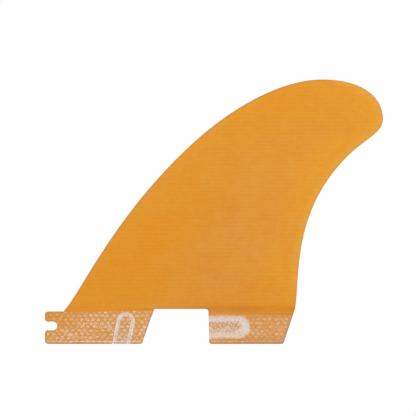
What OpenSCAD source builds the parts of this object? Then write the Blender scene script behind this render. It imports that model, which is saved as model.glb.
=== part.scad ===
// Surfboard fin: a foiled blade on two plug-in tabs, milled in one piece from a solid glass-fibre panel.
// X runs aft along the root, Y is the thickness and Z runs up to the tip.
// The origin is the middle of the root line, on the flat underside of the blade between the tabs.

/* [Blade outline] */
// Root length, from the leading corner to the trailing corner
base_length = 115; // [105:1:125]
// Blade height, from the root line to the highest point of the tip
blade_depth = 115; // [108:1:125]
// Angle of the leading edge above the root line, where it leaves the root
nose_angle = 51.5; // [48:0.5:55]
// How far the knee of the leading edge lies behind the leading corner
knee_run = 61.2; // [56:0.2:66]
// How far the knee of the leading edge lies below the top of the tip
knee_drop = 34.3; // [30:0.1:39]
// Angle of the leading edge above the root line, at its knee
knee_angle = 43.4; // [40:0.2:47]
// How far the tip reaches behind the trailing corner
tip_overhang = 44.1; // [36:0.1:50]
// How far the hindmost point of the tip lies below its top
tip_drop = 19.8; // [16:0.1:24]
// How far the top of the tip lies ahead of its hindmost point
tip_run = 30.5; // [26:0.1:36]
// How far the waist of the trailing edge lies behind the trailing corner
waist_run = 25.2; // [20:0.1:29]
// How far the waist of the trailing edge lies below the top of the tip
waist_drop = 39.6; // [36:0.1:44]
// Angle of the trailing edge above the root line, at its waist
waist_angle = 46; // [42:0.5:50]
// Angle of the trailing edge above the root line, where it leaves the root
heel_angle = 80; // [76:0.5:88]

/* [Foil] */
// Greatest thickness of the blade at the root
root_thickness = 7; // [6.4:0.1:8]
// Thickness that the blade tapers towards at the top of the tip
tip_thickness = 2.6; // [2:0.1:3.6]
// Where the foil is thickest, as a share of the chord behind the leading edge
peak_share = 0.35; // [0.3:0.01:0.4]
// Radius of the leading edge at the root
nose_radius = 0.6; // [0.4:0.05:0.8]
// Fullness of the foil behind its thickest point, where more is leaner
tail_leanness = 1.2; // [0.9:0.05:1.5]
// Thickness of the trailing edge
edge_thickness = 0.8; // [0.6:0.05:1.2]
// Height below the top over which the tip is rounded off to its rim
tip_rounding = 14; // [10:1:20]

/* [Tabs] */
// Thickness of both tabs
tab_thickness = 6.4; // [6:0.1:6.8]
// How far the tabs reach below the root line
tab_depth = 17.5; // [16:0.1:19]
// How far the toe of the front tab reaches ahead of the leading corner
toe_reach = 10.3; // [8:0.1:13]
// How far the top of the toe lies below the root line
toe_drop = 1.25; // [0.8:0.05:1.8]
// Length of the front tab along the root line, toe included
front_tab_length = 54.7; // [50:0.1:58]
// Length of the rear tab along the root line
rear_tab_length = 43.4; // [40:0.1:47]
// Lean of the rear edge of the front tab, forward from upright
front_tab_lean = 19.5; // [15:0.5:24]
// Lean of the rear edge of the rear tab, forward from upright
rear_tab_lean = 18.6; // [15:0.1:24]
// Draft of the front edge of the rear tab, backward from upright
rear_tab_draft = 1.5; // [0:0.1:3]
// Radius of the toe's outer corners
toe_radius = 1.6; // [1:0.1:2]
// Radius of the tabs' other lower corners
tab_radius = 1.2; // [0.8:0.1:1.8]
// Fillet between the blade's underside and the front tab
front_fillet = 1; // [0.6:0.1:2]
// Fillet between the blade's underside and the rear tab
rear_fillet = 1.5; // [0.8:0.1:2.4]
// Chamfer round the tabs' edges
tab_chamfer = 0.5; // [0.3:0.05:0.8]
// Radius of the hollow shoulder between the blade's faces and the rear tab
shoulder_radius = 3; // [2.4:0.1:3.6]

/* [Hook notch] */
// Width of the notch in the toe that hooks under the box's cross pin
notch_width = 4.34; // [4.1:0.02:5]
// Depth of the notch, from the front of the toe
notch_depth = 6.2; // [5.4:0.1:7.4]
// How far the middle of the notch lies below the root line
notch_drop = 8.5; // [7.6:0.1:9.4]
// Radius of the corners at the notch's mouth
notch_mouth_radius = 1.3; // [0.6:0.1:1.6]

/* [Front pocket] */
// Width of the slanted pocket across each face of the front tab
front_pocket_width = 8.6; // [7:0.1:10]
// How far the pocket's round top lies below the root line
front_pocket_drop = 1.9; // [1.4:0.1:3]
// How far the pocket's middle line lies ahead of the front tab's rear edge, at the root line
front_pocket_inset = 13.4; // [11:0.1:16]
// Lean of the pocket, forward from upright
front_pocket_lean = 11.5; // [8:0.5:16]
// Depth of the pocket below the tab's face
front_pocket_depth = 0.7; // [0.5:0.05:1]
// Width of the pocket's sloping rim
front_pocket_rim = 1.3; // [1.2:0.1:2.4]

/* [Rear pocket] */
// Height of the pocket across each face of the rear tab
rear_pocket_height = 11.5; // [10:0.1:12.4]
// Length of the pocket behind the tab's front edge
rear_pocket_length = 20.7; // [18:0.1:24]
// How far the pocket's upper side lies below the root line
rear_pocket_drop = 3.6; // [3:0.1:4.2]
// Depth of the pocket below the tab's face
rear_pocket_depth = 1.1; // [0.8:0.05:1.5]
// Width of the pocket's sloping rim
rear_pocket_rim = 3; // [2:0.1:4]

/* [Hidden] */

// Corners of the root, and the front and rear ends of the tabs
le_root = -base_length / 2;
te_root = base_length / 2;
toe_front = le_root - toe_reach;
gap_front = toe_front + front_tab_length;
gap_rear = te_root - rear_tab_length;
tab_half = tab_thickness / 2;

// How far past a face a cutter or an envelope runs
over = 1;
// Half width of the envelopes that leave the thickness free
wide = root_thickness;

// Slices up the blade to the hindmost point of the tip, from there to its top and down the
// shoulder, points along each face of a slice, and steps round a corner and across a pocket's rim
stations = 32;
tip_stations = 12;
shoulder_steps = 6;
face_points = 24;
arc_steps = 6;
rim_steps = 4;

// Knots of the two edges, from the root up to the top of the tip. Each is
// [x, z, heading, pull on the curve below it, pull on the curve above it].
// A pull is the length of the curve's handle over the distance between its two knots.
tip_top = te_root + tip_overhang - tip_run;
leading_edge = [
    [le_root, 0, nose_angle, 0, 0.15],
    [le_root + knee_run, blade_depth - knee_drop, knee_angle, 0.49, 0.41],
    [tip_top, blade_depth, 0, 0.26, 0]
];
trailing_edge = [
    [te_root, 0, heel_angle, 0, 0.2],
    [te_root + waist_run, blade_depth - waist_drop, waist_angle, 0.49, 0.51],
    [te_root + tip_overhang, blade_depth - tip_drop, 90, 0.26, 0.27],
    [tip_top, blade_depth, 180, 0.6, 0]
];

// The four control points of the curve between two knots
function handles(a, b) =
    let (span = norm([b[0] - a[0], b[1] - a[1]]))
    [
        [a[0], a[1]],
        [a[0] + a[4] * span * cos(a[2]), a[1] + a[4] * span * sin(a[2])],
        [b[0] - b[3] * span * cos(b[2]), b[1] - b[3] * span * sin(b[2])],
        [b[0], b[1]]
    ];

// A point on a cubic curve with those control points, where t runs from 0 to 1
function on_curve(c, t) =
    (1 - t) ^ 3 * c[0] + 3 * t * (1 - t) ^ 2 * c[1] + 3 * t ^ 2 * (1 - t) * c[2] + t ^ 3 * c[3];

// Where along a rising curve it reaches height z, by halving
function t_at(c, z, low = 0, high = 1, halvings = 30) =
    let (middle = (low + high) / 2)
    halvings == 0 ? middle
    : on_curve(c, middle)[1] < z ? t_at(c, z, middle, high, halvings - 1)
    : t_at(c, z, low, middle, halvings - 1);

// How far aft an edge lies at height z, from its list of knots
function edge_x(knots, z, k = 0) =
    k < len(knots) - 2 && z > knots[k + 1][1] ? edge_x(knots, z, k + 1)
    : let (c = handles(knots[k], knots[k + 1])) on_curve(c, t_at(c, z))[0];

// Share of the full half thickness at share s of the chord. The nose is round, the two parts
// join at the thickest point, and edge is the trailing edge's share of the full thickness.
nose_fullness = sqrt(2 * nose_radius * peak_share * base_length) / (root_thickness / 2);
function foil(s, edge) =
    s < peak_share
    ? let (u = s / peak_share)
        nose_fullness * sqrt(u) + (2 - 1.5 * nose_fullness) * u + (nose_fullness / 2 - 1) * u ^ 2
    : let (u = (s - peak_share) / (1 - peak_share))
        1 - (1 - edge) * (tail_leanness * u ^ 2 + (1 - tail_leanness) * u ^ 3);

// Thickness of the blade at height z: an even taper, rounded off towards the top
function rounding(z) = sqrt(max(0, 1 - max(0, (z - blade_depth) / tip_rounding + 1) ^ 2));
function taper(z) = root_thickness + (tip_thickness - root_thickness) * max(0, z) / blade_depth;

// How far the shoulder has swung out from the blade's face, at height z below the root line
function flare(z) =
    z >= 0 ? 0
    : z > -shoulder_radius ? shoulder_radius - sqrt(shoulder_radius ^ 2 - z ^ 2)
    : -z;

// One slice: the nose, one face, the round trailing edge and the other face
function slice(z) =
    let (
        nose = z >= 0 ? edge_x(leading_edge, z) : le_root + z / tan(nose_angle),
        tail = z >= 0 ? edge_x(trailing_edge, z) : te_root,
        full = taper(z) * rounding(z) / 2,
        edge = edge_thickness * rounding(z) / 2,
        chord = tail - edge - nose,
        out = flare(z),
        face = [
            for (j = [1:face_points])
                let (s = 1 - cos(90 * j / face_points))
                [nose + chord * s, full * foil(s, edge / full) + out]
        ],
        rim = [for (a = [60, 30]) [tail - edge + edge * cos(a), (edge + out) * sin(a)]],
        side = concat(face, rim)
    )
    concat(
        [[nose, 0, z]],
        [for (p = side) [p[0], p[1], z]],
        [[tail, 0, z]],
        [for (j = [len(side) - 1:-1:0]) [side[j][0], -side[j][1], z]]
    );

// Heights of the slices: down the shoulder, then up the blade, closer together towards the top
tip_base = blade_depth - tip_drop;
heights = concat(
    [-shoulder_radius - over],
    [for (i = [shoulder_steps:-1:1]) -shoulder_radius * sin(90 * i / shoulder_steps)],
    [for (i = [0:stations - 1]) tip_base * i / stations],
    [for (i = [0:tip_stations - 1]) tip_base + tip_drop * sin(90 * i / tip_stations)]
);

// The blade's milled faces, which flare out below the root line past the tabs' faces
module milled_faces() {
    slices = [for (z = heights) slice(z)];
    ring = len(slices[0]);
    rows = len(slices);
    points = concat([for (s = slices) for (p = s) p], [[tip_top, 0, blade_depth]]);
    bottom = [for (i = [ring - 1:-1:0]) i];
    walls = [
        for (r = [0:rows - 2]) for (i = [0:ring - 1])
            let (a = r * ring + i, b = r * ring + (i + 1) % ring)
            each [[a, b, a + ring], [b, b + ring, a + ring]]
    ];
    cap = [
        for (i = [0:ring - 1])
            [(rows - 1) * ring + i, (rows - 1) * ring + (i + 1) % ring, rows * ring]
    ];
    polyhedron(points = points, faces = concat([bottom], walls, cap), convexity = 6);
}

// What the cutter leaves free: the blade down to the toe's top, and each tab at full thickness
module envelope() {
    milled_faces();
    translate([toe_front - over, -wide, -tab_depth - over])
        cube([over - toe_front, 2 * wide, tab_depth + over - toe_drop]);
    translate([0, -wide, -tab_depth - over])
        cube([te_root + over, 2 * wide, tab_depth + over - shoulder_radius]);
}

// A corner of an outline: its arc of radius r, between the corners before and after it
function corner(before, at, after, r) =
    let (
        u = (before - at) / norm(before - at),
        v = (after - at) / norm(after - at),
        half = acos(u * v) / 2,
        middle = at + (u + v) / norm(u + v) * r / sin(half),
        start = at + u * r / tan(half) - middle,
        turn = 180 - 2 * half,
        way = u[0] * v[1] - u[1] * v[0] > 0 ? -1 : 1
    )
    r == 0 ? [at]
    : [
        for (i = [0:arc_steps])
            let (a = way * turn * i / arc_steps)
            middle + [start[0] * cos(a) - start[1] * sin(a), start[0] * sin(a) + start[1] * cos(a)]
    ];

// An outline from a list of [x, z, radius], with every corner rounded
function rounded(list) =
    let (n = len(list))
    [
        for (i = [0:n - 1])
            let (a = list[(i + n - 1) % n], b = list[i], c = list[(i + 1) % n])
            each corner([a[0], a[1]], [b[0], b[1]], [c[0], c[1]], b[2])
    ];

// Places a flat outline, drawn as aft and up, in the middle of the fin's thickness
module plate(thickness) {
    rotate([90, 0, 0])
        linear_extrude(thickness, center = true) children();
}

// Where the tabs' leaning edges are at height z
function front_tab_rear(z) = gap_front + z * tan(front_tab_lean);
function rear_tab_front(z) = gap_rear - z * tan(rear_tab_draft);
function rear_tab_rear(z) = te_root + z * tan(rear_tab_lean);

// Where the notch's two sides and its round end lie
notch_top = -notch_drop + notch_width / 2;
notch_bottom = -notch_drop - notch_width / 2;
notch_end = toe_front + notch_depth - notch_width / 2;

// Outline of both tabs and the gap between them. Above the root line it stays inside the blade.
neck_front = le_root - toe_drop / tan(nose_angle) - over;
tab_outline = rounded([
    [neck_front, over, 0],
    [neck_front, -toe_drop, 0],
    [toe_front, -toe_drop, toe_radius],
    [toe_front, notch_top, notch_mouth_radius],
    [notch_end, notch_top, 0],
    [notch_end, notch_bottom, 0],
    [toe_front, notch_bottom, notch_mouth_radius],
    [toe_front, -tab_depth, toe_radius],
    [front_tab_rear(-tab_depth), -tab_depth, tab_radius],
    [gap_front, 0, front_fillet],
    [gap_rear, 0, rear_fillet],
    [rear_tab_front(-tab_depth), -tab_depth, tab_radius],
    [rear_tab_rear(-tab_depth), -tab_depth, tab_radius],
    [te_root, 0, 0],
    [te_root, over, 0]
]);

// The panel cut to outline: the blade's zone above the root line and the two tabs below it
module blank() {
    translate([toe_front, -wide, 0])
        cube([te_root + tip_overhang + over - toe_front, 2 * wide, blade_depth + over]);
    plate(tab_thickness) polygon(tab_outline);
}

// The space inside a tab's chamfers, which widens past the tab's faces and edges
module chamfered(outline) {
    hull() {
        plate(tab_thickness - 2 * (tab_chamfer + over)) offset(delta = over) polygon(outline);
        plate(tab_thickness + 2 * over) offset(delta = -tab_chamfer - over) polygon(outline);
    }
}

// What the chamfers leave: each tab inside its own, and everything above the fillets and the toe
module chamfers() {
    front_top = max(toe_drop, front_fillet);
    chamfered(rounded([
        [toe_front, 0, 0],
        [toe_front, -tab_depth, toe_radius],
        [front_tab_rear(-tab_depth), -tab_depth, tab_radius],
        [gap_front, 0, 0]
    ]));
    chamfered(rounded([
        [rear_tab_front(-tab_depth), -tab_depth, tab_radius],
        [rear_tab_rear(-tab_depth), -tab_depth, tab_radius],
        [te_root, 0, 0],
        [gap_rear, 0, 0]
    ]));
    translate([toe_front - over, -wide, -front_top])
        cube([2 * over - toe_front, 2 * wide, blade_depth + over + front_top]);
    translate([0, -wide, -rear_fillet])
        cube([te_root + tip_overhang + over, 2 * wide, blade_depth + over + rear_fillet]);
}

// The notch's round end, with a true cylinder wall
module notch_bore() {
    translate([notch_end, 0, -notch_drop])
        rotate([90, 0, 0])
            cylinder(h = tab_thickness + 2 * over, d = notch_width, center = true, $fn = 64);
}

// A pocket's cutter: a slot with a round end at the origin that runs down past an edge of the tab,
// sunk into one face. Its walls are an arc, level at the floor, that takes the width of the rim
// to rise to the face, as a round-nosed cutter leaves them.
module pocket(width, run, depth, rim) {
    nose = (rim ^ 2 + depth ^ 2) / (2 * depth);
    turn = 2 * atan(depth / rim);
    hull()
        for (step = [0:rim_steps]) {
            a = turn * step / rim_steps;
            radius = width / 2 - rim + nose * sin(a);
            sunk = depth - nose * (1 - cos(a));
            for (z = [0, -run])
                translate([0, tab_half - sunk, z])
                    rotate([-90, 0, 0]) cylinder(h = sunk + over, r = radius, $fn = 32);
        }
}

// The slanted pocket of the front tab, open at the tab's bottom edge
module front_pocket() {
    top = front_pocket_drop + front_pocket_width / 2;
    translate([gap_front - front_pocket_inset - top * tan(front_pocket_lean), 0, -top])
        rotate([0, front_pocket_lean, 0])
            pocket(front_pocket_width, tab_depth, front_pocket_depth, front_pocket_rim);
}

// The level pocket of the rear tab, open at the tab's front edge
module rear_pocket() {
    middle = rear_pocket_drop + rear_pocket_height / 2;
    translate([gap_rear + rear_pocket_length - rear_pocket_height / 2, 0, -middle])
        rotate([0, 90, 0])
            pocket(rear_pocket_height, rear_pocket_length, rear_pocket_depth, rear_pocket_rim);
}

// The whole fin: the milled panel, less the notch and a pair of pockets in each tab
module fin() {
    color([0.88, 0.58, 0.19])
        difference() {
            intersection() {
                blank();
                envelope();
                chamfers();
            }
            notch_bore();
            for (side = [0, 1])
                mirror([0, side, 0]) {
                    front_pocket();
                    rear_pocket();
                }
        }
}

fin();
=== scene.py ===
"""A surfboard fin of amber glass-fibre laminate: a satin blade on two tabs of bare weave.

Shapes are worked out in millimetres in the part's own frame (X aft, Y thickness, Z up) and turned into
metres when the mesh is made.
"""
import math
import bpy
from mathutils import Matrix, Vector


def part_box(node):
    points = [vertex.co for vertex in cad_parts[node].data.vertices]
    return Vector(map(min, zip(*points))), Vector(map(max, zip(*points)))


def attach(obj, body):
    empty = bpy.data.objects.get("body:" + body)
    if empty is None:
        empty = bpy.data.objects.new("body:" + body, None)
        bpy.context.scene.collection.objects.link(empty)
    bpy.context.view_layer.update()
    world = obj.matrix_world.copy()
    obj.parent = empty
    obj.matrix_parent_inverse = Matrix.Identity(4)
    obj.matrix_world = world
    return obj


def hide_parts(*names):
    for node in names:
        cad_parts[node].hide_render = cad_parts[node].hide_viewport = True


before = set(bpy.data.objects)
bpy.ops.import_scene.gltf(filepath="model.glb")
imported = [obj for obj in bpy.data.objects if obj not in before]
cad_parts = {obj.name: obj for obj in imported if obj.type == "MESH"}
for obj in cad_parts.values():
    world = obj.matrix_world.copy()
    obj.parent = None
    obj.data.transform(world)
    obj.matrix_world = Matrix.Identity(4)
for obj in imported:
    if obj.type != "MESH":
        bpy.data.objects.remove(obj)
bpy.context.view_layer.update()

from types import SimpleNamespace

import bpy
import numpy as np
from mathutils import Vector, kdtree
from mathutils.geometry import delaunay_2d_cdt

MM = 0.001

# Sizes that the frame gives
LOW, HIGH = [np.array(corner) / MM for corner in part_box("fin")]
TOE_FRONT = LOW[0]
TAB_DEPTH = -LOW[2]
BLADE_DEPTH = HIGH[2]
ROOT_THICKNESS = 2 * HIGH[1]

# Blade outline
LE_ROOT = -57.5
TE_ROOT = 57.5
NOSE_ANGLE = 51.5
KNEE_RUN = 61.2
KNEE_DROP = 34.3
KNEE_ANGLE = 43.4
TIP_OVERHANG = 44.1
TIP_DROP = 19.8
TIP_RUN = 30.5
WAIST_RUN = 25.2
WAIST_DROP = 39.6
WAIST_ANGLE = 46
HEEL_ANGLE = 80

# Foil
TIP_THICKNESS = 2.6
PEAK_SHARE = 0.35
NOSE_RADIUS = 0.6
TAIL_LEANNESS = 1.2
EDGE_THICKNESS = 0.8
TIP_ROUNDING = 14

# Tabs
TAB_HALF = 3.2
TOE_DROP = 1.25
GAP_FRONT = TOE_FRONT + 54.7
GAP_REAR = TE_ROOT - 43.4
FRONT_TAB_LEAN = 19.5
REAR_TAB_LEAN = 18.6
REAR_TAB_DRAFT = 1.5
TOE_RADIUS = 1.6
TAB_RADIUS = 1.2
FRONT_FILLET = 1
REAR_FILLET = 1.5
TAB_CHAMFER = 0.5
SHARP_EDGE = 0.15
SHOULDER_RADIUS = 3
HEEL_START = SHOULDER_RADIUS + 0.3

# Hook notch
NOTCH_WIDTH = 4.34
NOTCH_DEPTH = 6.2
NOTCH_DROP = 8.5
NOTCH_MOUTH_RADIUS = 1.3

# Pockets: each runs straight down or forwards from a round end, at a lean from the vertical in degrees
FRONT_POCKET = {"width": 8.6, "depth": 0.7, "rim": 1.3, "lean": 11.5, "run": 16}
REAR_POCKET = {"width": 11.5, "depth": 1.1, "rim": 3.0, "lean": 90, "run": 16}
FRONT_POCKET_DROP = 1.9
FRONT_POCKET_INSET = 13.4
REAR_POCKET_DROP = 3.6
REAR_POCKET_LENGTH = 20.7

# How finely the edges and the outline are cut, in millimetres or as a number of points. A side that slopes
# is cut finer in the band beside the shoulder, and the toe's edge break fades in over a few steps.
TABLE_POINTS = 400
TRAILING_POINTS = 120
LEADING_POINTS = 160
ARC_STEPS = 8
OUTLINE_STEP = 0.45
FINE_STEP = 0.1
FINE_BAND = SHOULDER_RADIUS + 0.5
LEVEL_SIDE = 0.01
TOE_FADE_STEPS = 3
TOE_FADE_STEP = 0.15

# How finely the faces are cut, in millimetres
RINGS = [0.04, 0.12, 0.25, 0.46, 0.54, 0.8, 1.2, 1.7]
SPARSE_RING = 0.6
RING_KEEP_SHARE = 0.96
POCKET_RINGS = [-0.12, 0, 0.02, 0.08, 0.2, 0.4, 0.7, 1.0, 1.3, 1.7, 2.2, 2.6, 3.0]
POCKET_RING_STEP = 0.4
POCKET_ARC_POINTS = 8
BLADE_GRID = 0.85
TAB_GRID = 0.46
GRID_BORDER = 1
ROW_SPACING = 0.3
ROW_MARGIN = 0.6
NEAR_EDGE = np.array([0.04, 0.1, 0.18, 0.3, 0.46])
STEP = 0.02
COVE_ROWS = 12
LEAST_TURN = 0.1
WALL_ROWS = 6

# How far points keep from the rim, the pockets' rings and the rows, and for the grid as a share of its step
RIM_CLEARANCE = 0.03
RING_CLEARANCE = 0.05
ROW_CLEARANCE = 0.15
GRID_CLEARANCE = 0.55
MERGE_DISTANCE = 1e-6

# The edge closes to a line where its half thickness is less than CLOSED_HALF, and no other point is thinner
# than LEAST_HALF. Faces that meet at more than SHARP_ANGLE degrees stay sharp.
CLOSED_HALF = 0.02
LEAST_HALF = 0.01
SHARP_ANGLE = 32

# Guards against a thickness or a chord of nothing
ALMOST_TIP = 0.99999
SHORTEST_CHORD = 1e-6

# Knots of the two edges: [x, z, heading, pull below, pull above]
TIP_TOP = TE_ROOT + TIP_OVERHANG - TIP_RUN
LEADING_EDGE = [
    [LE_ROOT, 0, NOSE_ANGLE, 0, 0.15],
    [LE_ROOT + KNEE_RUN, BLADE_DEPTH - KNEE_DROP, KNEE_ANGLE, 0.49, 0.41],
    [TIP_TOP, BLADE_DEPTH, 0, 0.26, 0],
]
TRAILING_EDGE = [
    [TE_ROOT, 0, HEEL_ANGLE, 0, 0.2],
    [TE_ROOT + WAIST_RUN, BLADE_DEPTH - WAIST_DROP, WAIST_ANGLE, 0.49, 0.51],
    [TE_ROOT + TIP_OVERHANG, BLADE_DEPTH - TIP_DROP, 90, 0.26, 0.27],
    [TIP_TOP, BLADE_DEPTH, 180, 0.6, 0],
]


def tan(degrees):
    return math.tan(math.radians(degrees))


def heading(degrees):
    return np.array([math.cos(math.radians(degrees)), math.sin(math.radians(degrees))])


# Where the line of the nose meets the toe's top
NECK = LE_ROOT - TOE_DROP / tan(NOSE_ANGLE)


def edge_points(knots, count):
    """Points along an edge, count to each curve between two knots."""
    t = np.linspace(0, 1, count, endpoint=False)[:, None]
    weights = ((1 - t) ** 3, 3 * t * (1 - t) ** 2, 3 * t ** 2 * (1 - t), t ** 3)
    runs = []
    for a, b in zip(knots, knots[1:]):
        start, end = np.array(a[:2]), np.array(b[:2])
        span = np.linalg.norm(end - start)
        leave = start + a[4] * span * heading(a[2])
        arrive = end - b[3] * span * heading(b[2])
        runs.append(sum(weight * pull for weight, pull in zip(weights, (start, leave, arrive, end))))
    return np.vstack(runs + [[knots[-1][:2]]])


LEADING_TABLE = edge_points(LEADING_EDGE, TABLE_POINTS)
TRAILING_TABLE = edge_points(TRAILING_EDGE, TABLE_POINTS)


def edge_x(table, z):
    return np.interp(z, table[:, 1], table[:, 0])


# The blade's thickness. The nose's radius settles how full the foil is ahead of its peak.

NOSE_FULLNESS = math.sqrt(2 * NOSE_RADIUS * PEAK_SHARE * (TE_ROOT - LE_ROOT)) / (ROOT_THICKNESS / 2)


def foil(share, edge):
    """Share of the full half thickness at a share of the chord."""
    ahead = np.clip(share / PEAK_SHARE, 0, 1)
    behind = np.clip((share - PEAK_SHARE) / (1 - PEAK_SHARE), 0, 1)
    nose = NOSE_FULLNESS * np.sqrt(ahead) + (2 - 1.5 * NOSE_FULLNESS) * ahead
    nose += (NOSE_FULLNESS / 2 - 1) * ahead ** 2
    tail = 1 - (1 - edge) * (TAIL_LEANNESS * behind ** 2 + (1 - TAIL_LEANNESS) * behind ** 3)
    return np.where(share < PEAK_SHARE, nose, tail)


def flare(z):
    """How far the hollow shoulder has swung out at height z below the root line."""
    sunk = np.clip(-z, 0, SHOULDER_RADIUS)
    return SHOULDER_RADIUS - np.sqrt(SHOULDER_RADIUS ** 2 - sunk ** 2)


def milled(x, z):
    """Half thickness of the milled blade and of the shoulder below it."""
    nose = np.where(z >= 0, edge_x(LEADING_TABLE, z), LE_ROOT + z / tan(NOSE_ANGLE))
    tail = np.where(z >= 0, edge_x(TRAILING_TABLE, z), TE_ROOT)
    into_tip = np.clip((z - BLADE_DEPTH) / TIP_ROUNDING + 1, 0, ALMOST_TIP)
    rounding = np.sqrt(1 - into_tip ** 2)
    taper = ROOT_THICKNESS + (TIP_THICKNESS - ROOT_THICKNESS) * np.maximum(z, 0) / BLADE_DEPTH
    full = taper * rounding / 2
    edge = EDGE_THICKNESS * rounding / 2
    chord = np.maximum(tail - edge - nose, SHORTEST_CHORD)
    out = flare(z)
    face = full * foil((x - nose) / chord, edge / full) + out
    into_rim = np.clip((x - (tail - edge)) / edge, 0, 1)
    rim = (edge + out) * np.sqrt(1 - into_rim ** 2)
    return np.where(x <= nose, 0, np.where(x < tail - edge, face, rim))


def along_pocket(pocket, centre, x, z):
    """How far a point lies inside the wall of a pocket, or outside it where the number is below 0."""
    run = -heading(90 - pocket["lean"])
    dx, dz = x - centre[0], z - centre[1]
    down = dx * run[0] + dz * run[1]
    across = np.abs(dx * run[1] - dz * run[0])
    beyond = np.where(down < 0, down, np.maximum(down - pocket["run"], 0))
    return pocket["width"] / 2 - np.hypot(across, beyond)


def sunk(pocket, inside):
    """Depth at a distance inside a pocket's wall: an arc that is level at the floor."""
    rim, depth = pocket["rim"], pocket["depth"]
    nose = (rim ** 2 + depth ** 2) / (2 * depth)
    up_the_rim = rim - np.clip(inside, 0, rim)
    return np.where(inside > 0, depth - nose + np.sqrt(nose ** 2 - up_the_rim ** 2), 0)


FRONT_POCKET_TOP = FRONT_POCKET_DROP + FRONT_POCKET["width"] / 2
FRONT_POCKET_CENTRE = (
    GAP_FRONT - FRONT_POCKET_INSET - FRONT_POCKET_TOP * tan(FRONT_POCKET["lean"]),
    -FRONT_POCKET_TOP,
)
REAR_POCKET_CENTRE = (
    GAP_REAR + REAR_POCKET_LENGTH - REAR_POCKET["width"] / 2,
    -REAR_POCKET_DROP - REAR_POCKET["width"] / 2,
)
POCKETS = [(FRONT_POCKET, FRONT_POCKET_CENTRE), (REAR_POCKET, REAR_POCKET_CENTRE)]

# The bare weave of the rear tab starts at the end of the shoulder, and no higher than this
SHOULDER_MASK_TOP = -2.2

# The whitening of the front pocket strays a little from its walls
FRONT_WHITE = {**FRONT_POCKET, "width": 8.9, "lean": 11.8}
FRONT_WHITE_SHIFT = 0.4
FRONT_WHITE_CENTRE = (FRONT_POCKET_CENTRE[0] + FRONT_WHITE_SHIFT, FRONT_POCKET_CENTRE[1])


def shoulder_end(x):
    """The height at which the shoulder has swung out to the tab's face."""
    swing = np.clip(TAB_HALF - milled(x, np.zeros_like(x)), 0, SHOULDER_RADIUS)
    return -np.sqrt(SHOULDER_RADIUS ** 2 - (SHOULDER_RADIUS - swing) ** 2)


def in_milled_zone(x, z):
    """True where the milled faces run: on the blade, and down to the toe's top or the shoulder's end."""
    return np.where(x < 0, z > -TOE_DROP, z > -SHOULDER_RADIUS)


def half_thickness(x, z, rim_distance, cut):
    """Half thickness of the fin, with pockets and broken edges."""
    half = np.where(in_milled_zone(x, z), milled(x, z), TAB_HALF)
    half = np.where(z < 0, np.minimum(half, TAB_HALF), half)
    broken = np.where(z < 0, TAB_HALF, half) - cut + rim_distance
    half = np.minimum(half, broken)
    for pocket, centre in POCKETS:
        depth = sunk(pocket, along_pocket(pocket, centre, x, z))
        half = np.where(z < 0, np.minimum(half, TAB_HALF - depth), half)
    return half


# The outline

def corner(before, at, after, radius):
    """A corner of an outline as the points of its arc."""
    before, at, after = np.array(before), np.array(at), np.array(after)
    if radius == 0:
        return [at]
    u = (before - at) / np.linalg.norm(before - at)
    v = (after - at) / np.linalg.norm(after - at)
    half = math.acos(float(u @ v)) / 2
    middle = at + (u + v) / np.linalg.norm(u + v) * radius / math.sin(half)
    start = at + u * radius / math.tan(half) - middle
    turn = math.pi - 2 * half
    way = -1 if u[0] * v[1] - u[1] * v[0] > 0 else 1
    points = []
    for i in range(ARC_STEPS + 1):
        a = way * turn * i / ARC_STEPS
        points.append(middle + [start[0] * math.cos(a) - start[1] * math.sin(a),
                                start[0] * math.sin(a) + start[1] * math.cos(a)])
    return points


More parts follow.
